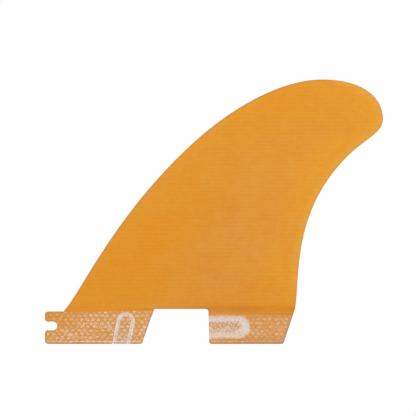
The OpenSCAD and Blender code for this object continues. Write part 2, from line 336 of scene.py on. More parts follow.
def tab_outline():
    """The tabs, from the leading root corner to the trailing one: points, and each point's edge break."""
    notch_top = -NOTCH_DROP + NOTCH_WIDTH / 2
    notch_bottom = -NOTCH_DROP - NOTCH_WIDTH / 2
    notch_end = TOE_FRONT + NOTCH_DEPTH - NOTCH_WIDTH / 2
    front_foot = GAP_FRONT - TAB_DEPTH * tan(FRONT_TAB_LEAN)
    rear_heel = TE_ROOT - TAB_DEPTH * tan(REAR_TAB_LEAN)
    rear_toe = GAP_REAR + TAB_DEPTH * tan(REAR_TAB_DRAFT)
    turns = [
        (LE_ROOT, 0, 0, 0),
        (NECK + STEP / tan(NOSE_ANGLE), -TOE_DROP + STEP, 0, 0),
        *[(NECK - TOE_FADE_STEP * k, -TOE_DROP, 0, SHARP_EDGE * k / TOE_FADE_STEPS)
          for k in range(TOE_FADE_STEPS + 1)],
        (TOE_FRONT, -TOE_DROP, TOE_RADIUS, TAB_CHAMFER),
        (TOE_FRONT, notch_top, NOTCH_MOUTH_RADIUS, SHARP_EDGE),
        (notch_end, notch_top, 0, SHARP_EDGE),
        (notch_end, notch_bottom, 0, SHARP_EDGE),
        (TOE_FRONT, notch_bottom, NOTCH_MOUTH_RADIUS, TAB_CHAMFER),
        (TOE_FRONT, -TAB_DEPTH, TOE_RADIUS, TAB_CHAMFER),
        (front_foot, -TAB_DEPTH, TAB_RADIUS, TAB_CHAMFER),
        (GAP_FRONT, 0, FRONT_FILLET, SHARP_EDGE),
        (GAP_REAR, 0, REAR_FILLET, TAB_CHAMFER),
        (rear_toe, -TAB_DEPTH, TAB_RADIUS, TAB_CHAMFER),
        (rear_heel, -TAB_DEPTH, TAB_RADIUS, TAB_CHAMFER),
        (TE_ROOT - HEEL_START * tan(REAR_TAB_LEAN), -HEEL_START, 0, TAB_CHAMFER),
        (TE_ROOT, 0, 0, 0),
    ]
    points, cuts = [], []
    for i, (x, z, radius, cut) in enumerate(turns):
        before, after = turns[i - 1], turns[(i + 1) % len(turns)]
        arc = corner(before[:2], (x, z), after[:2], radius)
        points += arc
        cuts += [cut] * len(arc)
        if (x, z) == (notch_end, notch_top):
            round_end = [
                (notch_end + NOTCH_WIDTH / 2 * math.sin(a), -NOTCH_DROP + NOTCH_WIDTH / 2 * math.cos(a))
                for a in np.linspace(0, math.pi, 2 * ARC_STEPS + 1)[1:-1]
            ]
            points += round_end
            cuts += [SHARP_EDGE] * len(round_end)
    return np.array(points), np.array(cuts)


def resample(points, values, step):
    """The closed outline with no side longer than step, or than the fine step beside the shoulder."""
    out_points, out_values = [], []
    for i in range(len(points)):
        a, b = points[i], points[(i + 1) % len(points)]
        low, high = sorted((a[1], b[1]))
        beside_shoulder = -FINE_BAND < low < 0 and high - low > LEVEL_SIDE
        longest = FINE_STEP if beside_shoulder else step
        pieces = max(1, math.ceil(np.linalg.norm(b - a) / longest))
        for k in range(pieces):
            out_points.append(a + (b - a) * k / pieces)
            out_values.append(values[i])
    return np.array(out_points), np.array(out_values)


def make_outline(step):
    """The whole outline, anticlockwise as seen with X to the right, with each point's edge break."""
    tabs, cuts = tab_outline()
    blade_up = edge_points(TRAILING_EDGE, TRAILING_POINTS)[1:]
    blade_down = edge_points(LEADING_EDGE, LEADING_POINTS)[::-1][1:-1]
    points = np.vstack([tabs, blade_up, blade_down])
    cuts = np.concatenate([cuts, np.zeros(len(blade_up) + len(blade_down))])
    return resample(points, cuts, step)


def tree_of(points):
    tree = kdtree.KDTree(len(points))
    for i, (x, z) in enumerate(points):
        tree.insert((x, z, 0), i)
    tree.balance()
    return tree


def inside(points, outline):
    """True for each point inside the closed outline."""
    x, z = points[:, 0], points[:, 1]
    result = np.zeros(len(points), bool)
    for (x0, z0), (x1, z1) in zip(outline, np.roll(outline, -1, axis=0)):
        if z0 == z1:
            continue
        crosses = (z0 > z) != (z1 > z)
        result ^= crosses & (x < (x1 - x0) * (z - z0) / (z1 - z0) + x0)
    return result


class Rim:
    """Distance to the outline, and the edge break of its nearest point."""

    def __init__(self):
        self.points, self.cuts = make_outline(FINE_STEP)
        self.tree = tree_of(self.points)
        after = np.roll(self.points, -1, axis=0)
        self.sides = after - self.points

    def measure(self, points):
        distances, cuts = [], []
        count = len(self.points)
        for x, z in points:
            _, index, _ = self.tree.find((x, z, 0))
            best = math.inf
            for side in (index - 1, index):
                origin, along = self.points[side % count], self.sides[side % count]
                length = along[0] * along[0] + along[1] * along[1]
                if length == 0:
                    continue
                t = ((x - origin[0]) * along[0] + (z - origin[1]) * along[1]) / length
                t = min(1, max(0, t))
                off = math.hypot(x - origin[0] - t * along[0], z - origin[1] - t * along[1])
                best = min(best, off)
            distances.append(best)
            cuts.append(self.cuts[index])
        return np.array(distances), np.array(cuts)


# The mesh

def inset_rings(outline, rim):
    """Points at fixed distances inside the outline."""
    before, after = np.roll(outline, 1, axis=0), np.roll(outline, -1, axis=0)
    along = after - before
    inward = np.stack([-along[:, 1], along[:, 0]], axis=1) / np.linalg.norm(along, axis=1)[:, None]
    rings = []
    for distance in RINGS:
        every = 1 if distance < SPARSE_RING else 2
        ring = (outline + inward * distance)[::every]
        measured, _ = rim.measure(ring)
        rings.append(ring[measured > RING_KEEP_SHARE * distance])
    return np.vstack(rings)


def pocket_rings(pocket, centre):
    """Points along the wall of a pocket, at fixed distances inside it."""
    run = -heading(90 - pocket["lean"])
    across = np.array([-run[1], run[0]])
    rings = []
    for inset in POCKET_RINGS:
        radius = pocket["width"] / 2 - inset
        if inset > pocket["rim"]:
            continue
        count = max(POCKET_ARC_POINTS, int(math.pi * radius / POCKET_RING_STEP))
        for a in np.linspace(0, math.pi, count):
            rings.append(centre + radius * (math.cos(a) * across - math.sin(a) * run))
        for side in (-1, 1):
            for down in np.arange(POCKET_RING_STEP, pocket["run"], POCKET_RING_STEP):
                rings.append(centre + side * radius * across + down * run)
    return np.array(rings)


def row_of(start, end, z):
    """Points along one height, closer together near the two edges."""
    middle = np.arange(start + ROW_MARGIN, end - ROW_MARGIN, ROW_SPACING)
    x = np.concatenate([start + NEAR_EDGE, middle, end - NEAR_EDGE[::-1]])
    return x, np.full_like(x, z)


def section_rows():
    """Rows of points along the heights where the section steps or curves, set in line across each row."""
    behind = np.arange(GAP_REAR, TE_ROOT, ROW_SPACING)
    rows = [row_of(LE_ROOT, GAP_FRONT, z) for z in (0, -STEP)]
    rows += [row_of(NECK, GAP_FRONT, z) for z in (-TOE_DROP + STEP, -TOE_DROP)]
    rows += [row_of(GAP_REAR, TE_ROOT, z) for z in (0, -STEP)]
    turn = np.arcsin(-shoulder_end(behind) / SHOULDER_RADIUS)
    for k in range(1, COVE_ROWS + 1):
        z = -SHOULDER_RADIUS * np.sin(turn * k / COVE_ROWS)
        apart = z + SHOULDER_RADIUS * np.sin(turn * (k + 1) / COVE_ROWS)
        wide = np.abs(apart) > 2 * STEP if k < COVE_ROWS else turn > LEAST_TURN
        rows.append((behind[wide], z[wide]))
        if k == COVE_ROWS:
            rows.append((behind[wide], z[wide] - STEP))
    return np.vstack([np.stack(row, axis=1) for row in rows])


def hex_grid(low, high, step):
    rows = np.arange(low[1], high[1], step * math.sqrt(3) / 2)
    points = []
    for i, z in enumerate(rows):
        xs = np.arange(low[0] + (i % 2) * step / 2, high[0], step)
        points.append(np.stack([xs, np.full_like(xs, z)], axis=1))
    return np.vstack(points)


def clear_of(points, others, gap):
    """Those points that keep a gap from the others."""
    tree = tree_of(others)
    keep = [tree.find((x, z, 0))[2] > gap for x, z in points]
    return points[np.array(keep)]


def flat_mesh():
    """The planform as points and triangles, with the rim's distances."""
    rim = Rim()
    outline, _ = make_outline(OUTLINE_STEP)
    features = inset_rings(outline, rim)
    for pocket, centre in POCKETS:
        ring = pocket_rings(pocket, centre)
        ring = ring[inside(ring, outline)]
        ring = ring[rim.measure(ring)[0] > RIM_CLEARANCE]
        features = np.vstack([clear_of(features, ring, RING_CLEARANCE), ring])
    rows = section_rows()
    rows = rows[inside(rows, outline)]
    rows = rows[rim.measure(rows)[0] > RIM_CLEARANCE]
    features = np.vstack([clear_of(features, rows, ROW_CLEARANCE), rows])
    blade = hex_grid((LOW[0], GRID_BORDER), (HIGH[0], HIGH[2]), BLADE_GRID)
    tabs = hex_grid((LOW[0], LOW[2]), (HIGH[0], GRID_BORDER), TAB_GRID)
    for grid, step in ((blade, BLADE_GRID), (tabs, TAB_GRID)):
        grid = grid[inside(grid, outline)]
        grid = clear_of(grid, np.vstack([outline, features]), GRID_CLEARANCE * step)
        features = np.vstack([features, grid])
    points = np.vstack([outline, features])
    count = len(outline)
    corners = [tuple(p) for p in points]
    sides = [(i, (i + 1) % count) for i in range(count)]
    inside_only = 1
    found = delaunay_2d_cdt(corners, sides, [tuple(range(count))], inside_only, MERGE_DISTANCE)
    points = np.array([tuple(v) for v in found[0]])
    triangles = np.array(found[2])
    distances, cuts = rim.measure(points)
    return points, triangles, distances, cuts


def masks(x, z):
    """What the material reads at each point, besides its distance to the rim.

    These are how far it lies below the milled faces and inside each pocket, and its share of the chord.
    """
    below = np.where(x < 0, -TOE_DROP, np.minimum(shoulder_end(x), SHOULDER_MASK_TOP)) - z
    height = np.maximum(z, 0)
    nose, tail = edge_x(LEADING_TABLE, height), edge_x(TRAILING_TABLE, height)
    return {
        "below": below,
        "front_pocket": along_pocket(FRONT_WHITE, FRONT_WHITE_CENTRE, x, z),
        "rear_pocket": along_pocket(REAR_POCKET, REAR_POCKET_CENTRE, x, z),
        "chord": np.clip((x - nose) / np.maximum(tail - nose, 1), 0, 1),
    }


def wall_faces(border, closed, columns):
    """The faces along the cut edge, which shrink to a point where the edge closes."""
    faces = []
    for a, b in border:
        if a in closed and b in closed:
            continue
        if a in closed or b in closed:
            column = columns[b] if a in closed else columns[a]
            for low, high in zip(column, column[1:]):
                faces.append((a, high, low) if a in closed else (b, low, high))
            continue
        for k in range(WALL_ROWS):
            faces.append((columns[b][k], columns[a][k], columns[a][k + 1], columns[b][k + 1]))
    return faces


def store(mesh, values_of):
    """Keep each mask as a value on the mesh's points, for the material."""
    for name, values in values_of.items():
        attribute = mesh.attributes.new(name, "FLOAT", "POINT")
        attribute.data.foreach_set("value", values.astype(np.float32))


def build_fin():
    """The fin as one closed mesh: two faces of one planform, joined by walls where its edge is thick."""
    points, triangles, distances, cuts = flat_mesh()
    x, z = points[:, 0], points[:, 1]
    half = half_thickness(x, z, distances, cuts)
    sides = np.concatenate([triangles[:, [0, 1]], triangles[:, [1, 2]], triangles[:, [2, 0]]])
    order = {(int(a), int(b)) for a, b in sides}
    border = [(a, b) for a, b in order if (b, a) not in order]
    on_border = {a for a, _ in border}
    closed = {i for i in on_border if half[i] < CLOSED_HALF}
    half = np.maximum(half, LEAST_HALF)
    half[list(closed)] = 0

    count = len(points)
    verts = [np.stack([x, -half, z], axis=1)]
    back = np.arange(count)
    open_ones = np.array([i for i in range(count) if i not in closed])
    back[open_ones] = count + np.arange(len(open_ones))
    verts.append(np.stack([x, half, z], axis=1)[open_ones])
    total = count + len(open_ones)
    columns = {}
    for i in sorted(on_border - closed):
        ys = np.linspace(-half[i], half[i], WALL_ROWS + 1)[1:-1]
        verts.append(np.stack([np.full_like(ys, x[i]), ys, np.full_like(ys, z[i])], axis=1))
        columns[i] = [i] + list(range(total, total + len(ys))) + [int(back[i])]
        total += len(ys)
    verts = np.vstack(verts)
    faces = [tuple(t) for t in triangles.tolist()]
    faces += [(int(back[c]), int(back[b]), int(back[a])) for a, b, c in triangles.tolist()]
    faces += wall_faces(border, closed, columns)

    mesh = bpy.data.meshes.new("fin_laminate")
    mesh.from_pydata((verts * MM).tolist(), [], faces)
    mesh.validate()
    values_of = masks(verts[:, 0], verts[:, 2])
    values_of["rim"] = np.zeros(len(verts))
    values_of["rim"][:count] = distances
    values_of["rim"][count:count + len(open_ones)] = distances[open_ones]
    store(mesh, values_of)
    mesh.polygons.foreach_set("use_smooth", [True] * len(mesh.polygons))
    mesh.set_sharp_from_angle(angle=math.radians(SHARP_ANGLE))
    fin = bpy.data.objects.new("fin_laminate", mesh)
    bpy.context.collection.objects.link(fin)
    return fin


# Materials

def srgb(red, green, blue):
    """A colour given as it shows on a screen, from 0 to 255, as the shader needs it."""
    linear = []
    for level in (red, green, blue):
        c = level / 255
        linear.append(c / 12.92 if c <= 0.04045 else ((c + 0.055) / 1.055) ** 2.4)
    return (*linear, 1)


# Colours as they show on a screen
AMBER_AHEAD = srgb(226, 148, 30)
AMBER_HIGH = srgb(223, 148, 38)
# Paler mid-chord: partly the resin's tone, partly a painted sheen where the foil tilts back
AMBER_MIDDLE = srgb(223, 150, 51)
AMBER_BEHIND = srgb(229, 154, 38)
AMBER_NOSE = srgb(221, 151, 56)
# Painted light shining through the thin trailing edge
AMBER_THIN_GLOW = srgb(226, 162, 60)
TAB_ORANGE = srgb(216, 141, 32)
TAB_PALE = srgb(214, 150, 78)
# Painted shade along the tabs' chamfered edges and the heel's slanted side
TOE_EDGE_SHADE = srgb(203, 131, 30)
TAB_EDGE_SHADE = srgb(201, 132, 56)
HEEL_EDGE_SHADE = srgb(192, 145, 98)
REAR_STRIP = srgb(206, 149, 84)
KNUCKLE_WHITE = srgb(240, 233, 218)
POCKET_FLOOR = srgb(204, 143, 64)
POCKET_WHITE = srgb(232, 229, 225)
# Painted light: a brighter white at the pockets' edges, where their steep walls fall into shade
POCKET_EDGE_PAINTED_LIGHT = srgb(243, 237, 231)
PLY_DARK = srgb(200, 131, 62)
PLY_LIGHT = srgb(220, 168, 106)
FLOOR_COLOUR = (0.86, 0.86, 0.86, 1)

# Tints, which multiply a colour
PALE_ROOT_TINT = (1.0, 1.035, 1.48, 1)
ROOT_TINT = (0.98, 0.97, 1.04, 1)
DUSKY_TINT = (0.985, 0.955, 1.08, 1)
WARM_TINT = (1.0, 0.95, 0.72, 1)
RIB_DARK = (0.985, 0.922, 0.66, 1)
RIB_LIGHT = (1.012, 1.078, 1.34, 1)
# Painted shade on the blade's rounded rim, which turns away from the light
RIM_SHADE_TINT = (0.92, 0.84, 0.6, 1)
# Painted shade in the hollow shoulder along the rear of the root line
ROOT_SHADE_TINT = (0.86, 0.76, 0.55, 1)
SHOULDER_TINT = (0.92, 0.98, 1.75, 1)

# Finish
BLADE_ROUGHNESS = 0.42
WEAVE_ROUGHER = 0.2
GROUND_ROUGHER = 0.15
SPECULAR_LEVEL = 0.14
KNUCKLE_HEIGHT = 0.06
RESIN_HEIGHT_SHARE = 0.25
BUMP_STRENGTH = 0.6
FLOOR_ROUGHNESS = 0.9


class Graph:
    """The nodes of a material or a world, made by short calls that return sockets."""

    def __init__(self, owner):
        owner.use_nodes = True
        self.nodes = owner.node_tree.nodes
        self.links = owner.node_tree.links
        self.nodes.clear()

    def put(self, value, socket):
        if isinstance(value, bpy.types.NodeSocket):
            self.links.new(value, socket)
        else:
            socket.default_value = value

    def node(self, kind, inputs=None, **settings):
        node = self.nodes.new(kind)
        for key, value in settings.items():
            setattr(node, key, value)
        for key, value in (inputs or {}).items():
            self.put(value, node.inputs[key])
        return node

    def math(self, operation, a, b=0.0, c=0.0):
        return self.node("ShaderNodeMath", {0: a, 1: b, 2: c}, operation=operation).outputs[0]

    def plus(self, a, b):
        return self.math("ADD", a, b)

    def minus(self, a, b):
        return self.math("SUBTRACT", a, b)

    def larger(self, a, b):
        return self.math("MAXIMUM", a, b)

    def smaller(self, a, b):
        return self.math("MINIMUM", a, b)

    def product(self, first, *others):
        for other in others:
            first = self.math("MULTIPLY", first, other)
        return first

    def line(self, value, slope, start):
        """The value times a slope, plus what it starts from."""
        return self.math("MULTIPLY_ADD", value, slope, start)

    def ramp(self, value, low, high, start=0.0, end=1.0):
        """A smooth step from start at low to end at high."""
        node = self.node("ShaderNodeMapRange", {0: value, 1: low, 2: high, 3: start, 4: end},
                         interpolation_type="SMOOTHSTEP")
        return node.outputs[0]

    def near(self, value, middle, reach, core, start=0.0, end=1.0):
        """A band round a middle: start beyond its reach, end within its core."""
        return self.ramp(self.math("ABSOLUTE", self.minus(value, middle)), reach, core, start, end)

    def mix(self, factor, a, b, blend="MIX"):
        """Two colours mixed. The node's colour sockets are its inputs 6 and 7 and its output 2."""
        node = self.node("ShaderNodeMix", data_type="RGBA", blend_type=blend)
        self.put(factor, node.inputs[0])
        self.put(a, node.inputs[6])
        self.put(b, node.inputs[7])
        return node.outputs[2]

    def tint(self, factor, colour, tint):
        """The colour, multiplied by a tint as far as the factor goes."""
        return self.mix(factor, colour, self.mix(1.0, colour, tint, "MULTIPLY"))

    def scaled(self, vector, x, y, z):
        return self.node("ShaderNodeVectorMath", {0: vector, 1: (x, y, z)}, operation="MULTIPLY").outputs[0]

    def noise(self, vector, scale, detail=2.0, roughness=0.5, distortion=0.0):
        """Cloudy noise from 0 to 1. Three scales, for X, Y and Z, stretch it."""
        if isinstance(scale, tuple):
            vector, scale = self.scaled(vector, *scale), 1.0
        settings = {"Scale": scale, "Detail": detail, "Roughness": roughness, "Distortion": distortion}
        return self.node("ShaderNodeTexNoise", {"Vector": vector, **settings}).outputs[0]

    def patches(self, vector, noise, fade):
        """Noise that a fade cuts into patches."""
        return self.ramp(self.noise(vector, *noise), *fade)

    def sway(self, vector, noise, reach):
        """Noise that swings about 0."""
        return self.product(self.minus(self.noise(vector, *noise), 0.5), reach)

    def attribute(self, name):
        return self.node("ShaderNodeAttribute", attribute_name=name).outputs["Fac"]


def surface_inputs(g):
    """What the colours are worked out from: the place in millimetres and the mesh's masks."""
    coordinates = g.node("ShaderNodeTexCoord")
    place = g.scaled(coordinates.outputs["Object"], 1 / MM, 1 / MM, 1 / MM)
    x, _, z = g.node("ShaderNodeSeparateXYZ", {0: place}).outputs
    across = g.node("ShaderNodeSeparateXYZ", {0: coordinates.outputs["Normal"]}).outputs[1]
    inputs = {"place": place, "x": x, "z": z, "facing": g.math("ABSOLUTE", across)}
    for name in ("below", "front_pocket", "rear_pocket", "rim", "chord"):
        inputs[name] = g.attribute(name)
    return SimpleNamespace(**inputs)


# Below, a noise is its fineness per millimetre, overall or along X, Y and Z, and then its detail, roughness
# and distortion, as far as they are set. A fade is where it starts and ends and, where these aren't 0 and 1,
# its strengths there. Fades by height, length, rim and wall run in millimetres, fades by chord in shares of
# it, and those that cut a noise or a chance in levels from 0 to 1.

# The blade
MOTTLE_NOISE = (0.035, 3)
MOTTLE_SWAY = 0.5
# Paler mid-chord: partly the resin's tone, partly a painted sheen where the foil tilts back
MILKY_AND_SHEEN_BY_CHORD = (0.22, 0.62)
MILKY_AND_SHEEN_BY_HEIGHT = (60, 108, 1, 0.15)
HIGH_FROM_BELOW = (30, 70)
HIGH_FROM_ABOVE = (104, 82, 0.1, 1.0)
BEHIND_BY_CHORD = (0.66, 0.98, 0.0, 0.9)
ROOT_BY_HEIGHT = (95, 0)
PALE_FROM_AHEAD = (-45, -30)
PALE_FROM_BEHIND = (10, -12)
PALE_BY_HEIGHT = (8, 0)
WARM_NOISE = (0.05, 3, 0.6)
WARM_PATCHES = (0.44, 0.62)
WARM_BY_CHORD = (0.03, 0.15)
WARM_BY_LENGTH = (70, 10, 0.5, 1.0)
DUSKY_NOISE = ((-0.06, 0.06, 0.08), 4, 0.6)
DUSKY_PATCHES = (0.5, 0.66)
THIN_GLOW_BY_RIM = (5, 0.6)
THIN_GLOW_BY_CHORD = (0.55, 0.95)
THIN_GLOW_BY_HEIGHT = (2, 18, 0.0, 0.7)
NOSE_BY_RIM = (2.7, 0.4, 0.0, 0.8)
NOSE_BY_CHORD = (0.5, 0.3)
NOSE_BY_HEIGHT = (112, 88, 0.25, 1.0)
RIB_PITCH = 1.93
RIB_CONTRAST = 0.56
RIB_WANDER_NOISE = (0.05, 2)
RIB_WANDER = 3.0
RIB_NOISE = ((0.09, 0.09, 0.2), 3)
RIB_PATCHES = (0.35, 0.65, 0.15, 1.0)
BLOTCH_NOISE = ((0.3, 0.3, 0.42), 3, 0.6)
BLOTCH_CONTRAST = 3.2
GRAIN_NOISE = (1.5, 3, 0.75)
GRAIN_CONTRAST = 4.0
# Painted shade on the blade's rounded rim, which turns away from the light
RIM_SHADE = (0.75, 0.35, 0.0, 0.85)
# Painted shade in the hollow shoulder along the rear of the root line
ROOT_SHADE_FROM_ABOVE = (3.3, 0.0, 0.0, 0.88)
ROOT_SHADE_FROM_BELOW = (-2.4, -0.4)
ROOT_SHADE_BY_LENGTH = (-14, 26)
ROOT_SHADE_NOISE = ((0.1, 0.1, 0.5), 2)
ROOT_SHADE_PATCHES = (0.3, 0.6, 0.82, 1.0)


def amber(g, s):
    """The resin: paler behind mid-chord, partly its tone and partly a painted sheen where the foil tilts
    back; paler over the front pocket; with warm and dusky patches.
    """
    chord = g.plus(s.chord, g.sway(s.place, MOTTLE_NOISE, MOTTLE_SWAY))
    # Paler mid-chord: partly the resin's tone, partly a painted sheen where the foil tilts back
    milky_and_sheen = g.product(g.ramp(chord, *MILKY_AND_SHEEN_BY_CHORD), g.ramp(s.z, *MILKY_AND_SHEEN_BY_HEIGHT))
    high = g.product(g.ramp(s.z, *HIGH_FROM_BELOW), g.ramp(s.z, *HIGH_FROM_ABOVE))
    colour = g.mix(milky_and_sheen, g.mix(high, AMBER_AHEAD, AMBER_HIGH), AMBER_MIDDLE)
    colour = g.mix(g.ramp(chord, *BEHIND_BY_CHORD), colour, AMBER_BEHIND)
    colour = g.tint(g.ramp(s.z, *ROOT_BY_HEIGHT), colour, ROOT_TINT)
    along = g.product(g.ramp(s.x, *PALE_FROM_AHEAD), g.ramp(s.x, *PALE_FROM_BEHIND))
    colour = g.tint(g.product(along, g.ramp(s.z, *PALE_BY_HEIGHT)), colour, PALE_ROOT_TINT)
    warm = g.product(g.patches(s.place, WARM_NOISE, WARM_PATCHES),
                     g.ramp(s.chord, *WARM_BY_CHORD), g.ramp(s.x, *WARM_BY_LENGTH))
    colour = g.tint(warm, colour, WARM_TINT)
    dusky = g.product(g.patches(s.place, DUSKY_NOISE, DUSKY_PATCHES), milky_and_sheen)
    return g.tint(dusky, colour, DUSKY_TINT)


def blade_edges(g, s, colour):
    """The thin trailing edge is paler, a painted glow of light shining through the thin resin, and the nose
    is duller.
    """
    # Painted light: the thin trailing edge glows paler, as light shines through the thin resin
    thin = g.product(g.ramp(s.rim, *THIN_GLOW_BY_RIM), g.ramp(s.chord, *THIN_GLOW_BY_CHORD),
                     g.ramp(s.z, *THIN_GLOW_BY_HEIGHT))
    colour = g.mix(thin, colour, AMBER_THIN_GLOW)
    nose = g.product(g.ramp(s.chord, *NOSE_BY_CHORD), g.ramp(s.rim, *NOSE_BY_RIM),
                     g.ramp(s.z, *NOSE_BY_HEIGHT))
    return g.mix(nose, colour, AMBER_NOSE)


def resin_relief(g, s):
    """The resin's height about 0: fine ribs along the root that come and go, blotches and grain."""
    wander = g.product(g.noise(s.place, *RIB_WANDER_NOISE), RIB_WANDER)
    wave = g.math("SINE", g.line(s.z, 2 * math.pi / RIB_PITCH, wander))
    ribs = g.product(wave, g.patches(s.place, RIB_NOISE, RIB_PATCHES), RIB_CONTRAST)
    blotches = g.sway(s.place, BLOTCH_NOISE, BLOTCH_CONTRAST)
    grain = g.sway(s.place, GRAIN_NOISE, GRAIN_CONTRAST)
    return g.plus(g.plus(ribs, blotches), grain)


def blade_colour(g, s, relief):
    """Amber resin, darker in its hollows, with painted shade round its rim and in the hollow shoulder along
    the rear of the root line.
    """
    colour = blade_edges(g, s, amber(g, s))
    hollow = g.mix(1.0, colour, RIB_DARK, "MULTIPLY")
    crest = g.mix(1.0, colour, RIB_LIGHT, "MULTIPLY")
    colour = g.mix(g.line(relief, 0.5, 0.5), hollow, crest)
    # Painted shade on the blade's rounded rim, which turns away from the light
    colour = g.tint(g.ramp(s.rim, *RIM_SHADE), colour, RIM_SHADE_TINT)
    # Painted shade in the hollow shoulder along the rear of the root line, in patches
    root = g.product(g.ramp(s.z, *ROOT_SHADE_FROM_ABOVE), g.ramp(s.z, *ROOT_SHADE_FROM_BELOW),
                     g.ramp(s.x, *ROOT_SHADE_BY_LENGTH),
                     g.patches(s.place, ROOT_SHADE_NOISE, ROOT_SHADE_PATCHES))
    return g.tint(root, colour, ROOT_SHADE_TINT)


# The knuckles, where the yarns of the weave cross. Sizes are in millimetres. The stagger and the stray are
# shares of a cell, and the other shares are of a knuckle's size or radius.
KNUCKLE_PITCH = 2.85
ROW_PITCH = 1.84
STAGGER_SHARE = 0.5
STRAY_SHARE_X = 0.22
STRAY_SHARE_Z = 0.26
DRIFT_NOISE = {"Scale": 0.22, "Detail": 2.0}
KNUCKLE_DRIFT = 1.3
KNUCKLE_SIZE = 0.56
SMALLEST_RADIUS_SHARE = 0.6
RADIUS_SPREAD_SHARE = 0.5
KNUCKLE_FLATNESS = 1.38
KNUCKLE_STROKE = 0.24
KNUCKLE_STROKE_CORE = 0.05
RAGGED_NOISE = (1.2, 3, 0.65)
RAGGED_REACH = 1.0
RING_NOISE = (0.9, 1)
RING_GAPS = (0.34, 0.5, 0.15, 1.0)
BLOB_SHARE = 1.1
BLOB_CHANCE = (0.6, 0.9)
WEAKEST_STRENGTH = 0.7
STRENGTH_SPREAD = 0.35
LOOP_SIZE = 0.95
LOOP_STROKE = 0.24
LOOP_STROKE_CORE = 0.06
LOOP_NOISE = (1.3, 2)
LOOP_PATCHES = (0.48, 0.58, 0.0, 0.3)
CORE_SHIFT = (0.9, 0.0, 0.6)
CORE_BY_REACH = (0.75, 0.4)


def lattice(g, place):
    """The staggered rows of crossings: ragged distance to the nearest one, and its three chances."""
    drift = g.node("ShaderNodeTexNoise", {"Vector": place, **DRIFT_NOISE}).outputs["Color"]
    moved = g.node("ShaderNodeVectorMath", {0: drift, 1: (KNUCKLE_DRIFT,) * 3, 2: place},
                   operation="MULTIPLY_ADD").outputs[0]
    x, _, z = g.node("ShaderNodeSeparateXYZ", {0: moved}).outputs
    v = g.math("DIVIDE", z, ROW_PITCH)
    row = g.math("FLOOR", v)
    stagger = g.product(g.math("FLOORED_MODULO", row, 2.0), STAGGER_SHARE)
    u = g.plus(g.math("DIVIDE", x, KNUCKLE_PITCH), stagger)
    column = g.math("FLOOR", u)
    cell = g.node("ShaderNodeCombineXYZ", {0: column, 1: row}).outputs[0]
    chance = g.node("ShaderNodeTexWhiteNoise", {"Vector": cell})
    chances = g.node("ShaderNodeSeparateColor", {0: chance.outputs["Color"]}).outputs
    middle_x = g.line(chances[0], STRAY_SHARE_X, 0.5 - STRAY_SHARE_X / 2)
    middle_z = g.line(chances[1], STRAY_SHARE_Z, 0.5 - STRAY_SHARE_Z / 2)
    dx = g.product(g.minus(g.minus(u, column), middle_x), KNUCKLE_PITCH)
    dz = g.product(g.minus(g.minus(v, row), middle_z), KNUCKLE_FLATNESS * ROW_PITCH)
    reach = g.math("SQRT", g.plus(g.product(dx, dx), g.product(dz, dz)))
    return g.plus(reach, g.sway(place, RAGGED_NOISE, RAGGED_REACH)), chances


def knuckles(g, place):
    """White rings, broken rings and blobs, one at each crossing, with fainter loops of yarn round them."""
    ragged, (red, green, blue) = lattice(g, place)
    radius = g.line(blue, RADIUS_SPREAD_SHARE * KNUCKLE_SIZE, SMALLEST_RADIUS_SHARE * KNUCKLE_SIZE)
    ring = g.near(ragged, radius, KNUCKLE_STROKE, KNUCKLE_STROKE_CORE)
    ring = g.product(ring, g.patches(place, RING_NOISE, RING_GAPS))
    blob = g.product(g.ramp(ragged, g.product(radius, BLOB_SHARE), 0.0), g.ramp(red, *BLOB_CHANCE))
    strength = g.line(green, STRENGTH_SPREAD, WEAKEST_STRENGTH)
    loop = g.near(ragged, LOOP_SIZE, LOOP_STROKE, LOOP_STROKE_CORE)
    loop = g.product(loop, g.patches(place, LOOP_NOISE, LOOP_PATCHES))
    return g.larger(g.product(g.larger(ring, blob), strength), loop)


def knuckle_cores(g, place):
    """The solid middles of the crossings, which stay orange where the weave around them is ground white."""
    shifted = g.node("ShaderNodeVectorMath", {0: place, 1: CORE_SHIFT}).outputs[0]
    ragged, _ = lattice(g, shifted)
    return g.ramp(ragged, *CORE_BY_REACH)


# The bare weave. Along the toe its strength starts from that by height.
REAR_TAB_BY_LENGTH = (10, 16)
KNUCKLE_NOISE = (0.11, 2)
KNUCKLE_PATCHES = (0.32, 0.66, 0.7, 1.15)
KNUCKLES_BY_LENGTH = (-44, -20, 1.0, 0.85)
SPECK_NOISE = (1.25, 2, 0.6)
SPECK_PATCHES = (0.52, 0.62)
THREAD_NOISE = ((0.5, 0.5, 2.4), 3, 0.6)
THREAD_PATCHES = (0.54, 0.64)
THREADS_BY_HEIGHT = (-4, -13, 0.08, 0.33)
HAZE_NOISE = (0.3, 2, 0.5)
HAZE_PATCHES = (0.35, 0.7)
HAZE_STRENGTH = 0.045
SPECKS_OFF_HAZE = 0.07
SPECKS_IN_HAZE = 0.4
LOOSE_BY_LENGTH = (-66, -44)
LOOSE_TOE_BY_HEIGHT = (-8, -12, 0.4, 1.2)
WEAVE_BY_LENGTH = (-68, -42)
WEAVE_TOE_BY_HEIGHT = (-8, -12, 0.5, 1.0)
WEAVE_FROM_TOP = (-0.2, 2.5, 0.7, 1.0)
FULL_WEAVE_BY_LENGTH = (-48, -36)
REAR_WEAVE_FROM_TOP = (0.1, 2.4, 0.12, 0.7)
TONE_NOISE = (0.16, 3)
TONE_BY_LENGTH = (-68, -38, 0.25, 1.0)

